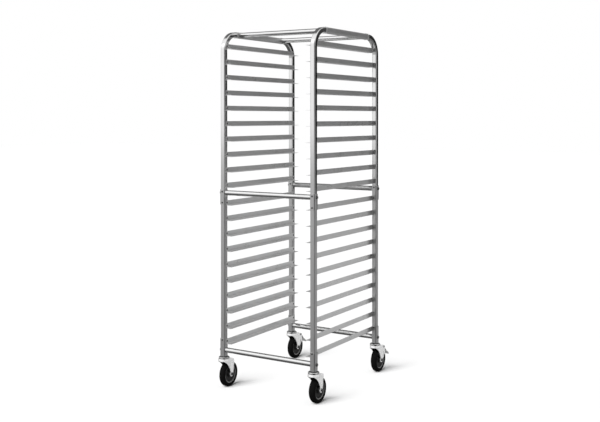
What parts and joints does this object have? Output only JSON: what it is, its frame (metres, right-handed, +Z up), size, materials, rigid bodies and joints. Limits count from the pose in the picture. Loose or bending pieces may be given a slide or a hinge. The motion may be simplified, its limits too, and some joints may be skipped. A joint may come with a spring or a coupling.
{
  "type": "sheet pan rack",
  "caption": "Tall knock-down sheet pan rack: bent square-tube posts, round crossbars and angle slides, on swivel casters with pedal brakes at the back.",
  "frame": {"origin": "on the floor, at the centre of the rack's box", "axes": "+X across the rack to its right side seen from the front, +Y towards the back, where the braked casters are, +Z up"},
  "size_m": [0.5686, 0.7908, 1.7701],
  "materials": {
    "post_steel": "satin brushed steel tube",
    "polished_tube": "finely brushed, half-bright steel tube",
    "slide_sheet": "folded satin sheet",
    "bracket_steel": "folded satin sheet",
    "fastener_steel": "plain steel fasteners",
    "caster_plate": "bright zinc plate",
    "hub_plastic": "moulded dark grey core",
    "tyre_rubber": "black rubber tread",
    "shoe_rubber": "black rubber pad"
  },
  "bodies": {
    "frame": {"lower_post_front_left": "post_steel", "lower_post_front_right": "post_steel", "lower_post_back_left": "post_steel", "lower_post_back_right": "post_steel", "upper_post_front_left": "polished_tube", "upper_post_front_right": "polished_tube", "upper_post_back_left": "polished_tube", "upper_post_back_right": "polished_tube", "top_side_rail_left": "post_steel", "top_side_rail_right": "post_steel", "top_crossbar_front": "polished_tube", "top_crossbar_back": "polished_tube", "mid_crossbar_front": "polished_tube", "mid_crossbar_back": "polished_tube", "base_crossbar_front": "polished_tube", "base_crossbar_back": "polished_tube", "lower_left_slides": "slide_sheet", "lower_right_slides": "slide_sheet", "upper_left_slides": "slide_sheet", "upper_right_slides": "slide_sheet", "splice_brackets": "bracket_steel", "base_brackets": "bracket_steel", "crossbar_plugs": "fastener_steel", "crossbar_bolts": "fastener_steel", "bracket_rivets": "fastener_steel", "left_slide_rivets": "fastener_steel", "right_slide_rivets": "fastener_steel", "top_corner_screws": "fastener_steel", "post_plugs": "fastener_steel", "caster_stems": "caster_plate", "swivel_cups": "caster_plate", "swivel_balls": "caster_plate", "kingpin_nuts": "fastener_steel"},
    "swivel_front_left": {"fork_front_left": "caster_plate", "axle_set_front_left": "fastener_steel"},
    "wheel_front_left": {"wheel_hub_front_left": "hub_plastic", "wheel_bush_front_left": "fastener_steel", "tyre_front_left": "tyre_rubber"},
    "swivel_front_right": {"fork_front_right": "caster_plate", "axle_set_front_right": "fastener_steel"},
    "wheel_front_right": {"wheel_hub_front_right": "hub_plastic", "wheel_bush_front_right": "fastener_steel", "tyre_front_right": "tyre_rubber"},
    "swivel_back_left": {"fork_back_left": "caster_plate", "axle_set_back_left": "fastener_steel", "brake_pin_left": "fastener_steel"},
    "wheel_back_left": {"wheel_hub_back_left": "hub_plastic", "wheel_bush_back_left": "fastener_steel", "tyre_back_left": "tyre_rubber"},
    "brake_left": {"brake_pedal_left": "caster_plate", "brake_shoe_left": "shoe_rubber"},
    "swivel_back_right": {"fork_back_right": "caster_plate", "axle_set_back_right": "fastener_steel", "brake_pin_right": "fastener_steel"},
    "wheel_back_right": {"wheel_hub_back_right": "hub_plastic", "wheel_bush_back_right": "fastener_steel", "tyre_back_right": "tyre_rubber"},
    "brake_right": {"brake_pedal_right": "caster_plate", "brake_shoe_right": "shoe_rubber"}
  },
  "joints": [
    {"name": "swivel_turn_front_left", "type": "hinge", "parent": "frame", "child": "swivel_front_left", "pos_m": [-0.2573, -0.36838, 0.158], "axis": [0, 0, 1], "continuous": true},
    {"name": "wheel_roll_front_left", "type": "hinge", "parent": "swivel_front_left", "child": "wheel_front_left", "pos_m": [-0.2573, -0.33237, 0.0625], "axis": [1, 0, 0], "continuous": true},
    {"name": "swivel_turn_front_right", "type": "hinge", "parent": "frame", "child": "swivel_front_right", "pos_m": [0.2573, -0.36838, 0.158], "axis": [0, 0, 1], "continuous": true},
    {"name": "wheel_roll_front_right", "type": "hinge", "parent": "swivel_front_right", "child": "wheel_front_right", "pos_m": [0.2573, -0.33237, 0.0625], "axis": [1, 0, 0], "continuous": true},
    {"name": "swivel_turn_back_left", "type": "hinge", "parent": "frame", "child": "swivel_back_left", "pos_m": [-0.2573, 0.26622, 0.158], "axis": [0, 0, 1], "continuous": true},
    {"name": "wheel_roll_back_left", "type": "hinge", "parent": "swivel_back_left", "child": "wheel_back_left", "pos_m": [-0.2573, 0.30223, 0.0625], "axis": [1, 0, 0], "continuous": true},
    {"name": "brake_press_left", "type": "hinge", "parent": "swivel_back_left", "child": "brake_left", "pos_m": [-0.2573, 0.32863, 0.1274], "axis": [-1, 0, 0], "range_deg": [0, 9]},
    {"name": "swivel_turn_back_right", "type": "hinge", "parent": "frame", "child": "swivel_back_right", "pos_m": [0.2573, 0.26622, 0.158], "axis": [0, 0, 1], "continuous": true},
    {"name": "wheel_roll_back_right", "type": "hinge", "parent": "swivel_back_right", "child": "wheel_back_right", "pos_m": [0.2573, 0.30223, 0.0625], "axis": [1, 0, 0], "continuous": true},
    {"name": "brake_press_right", "type": "hinge", "parent": "swivel_back_right", "child": "brake_right", "pos_m": [0.2573, 0.32863, 0.1274], "axis": [-1, 0, 0], "range_deg": [0, 9]}
  ]
}
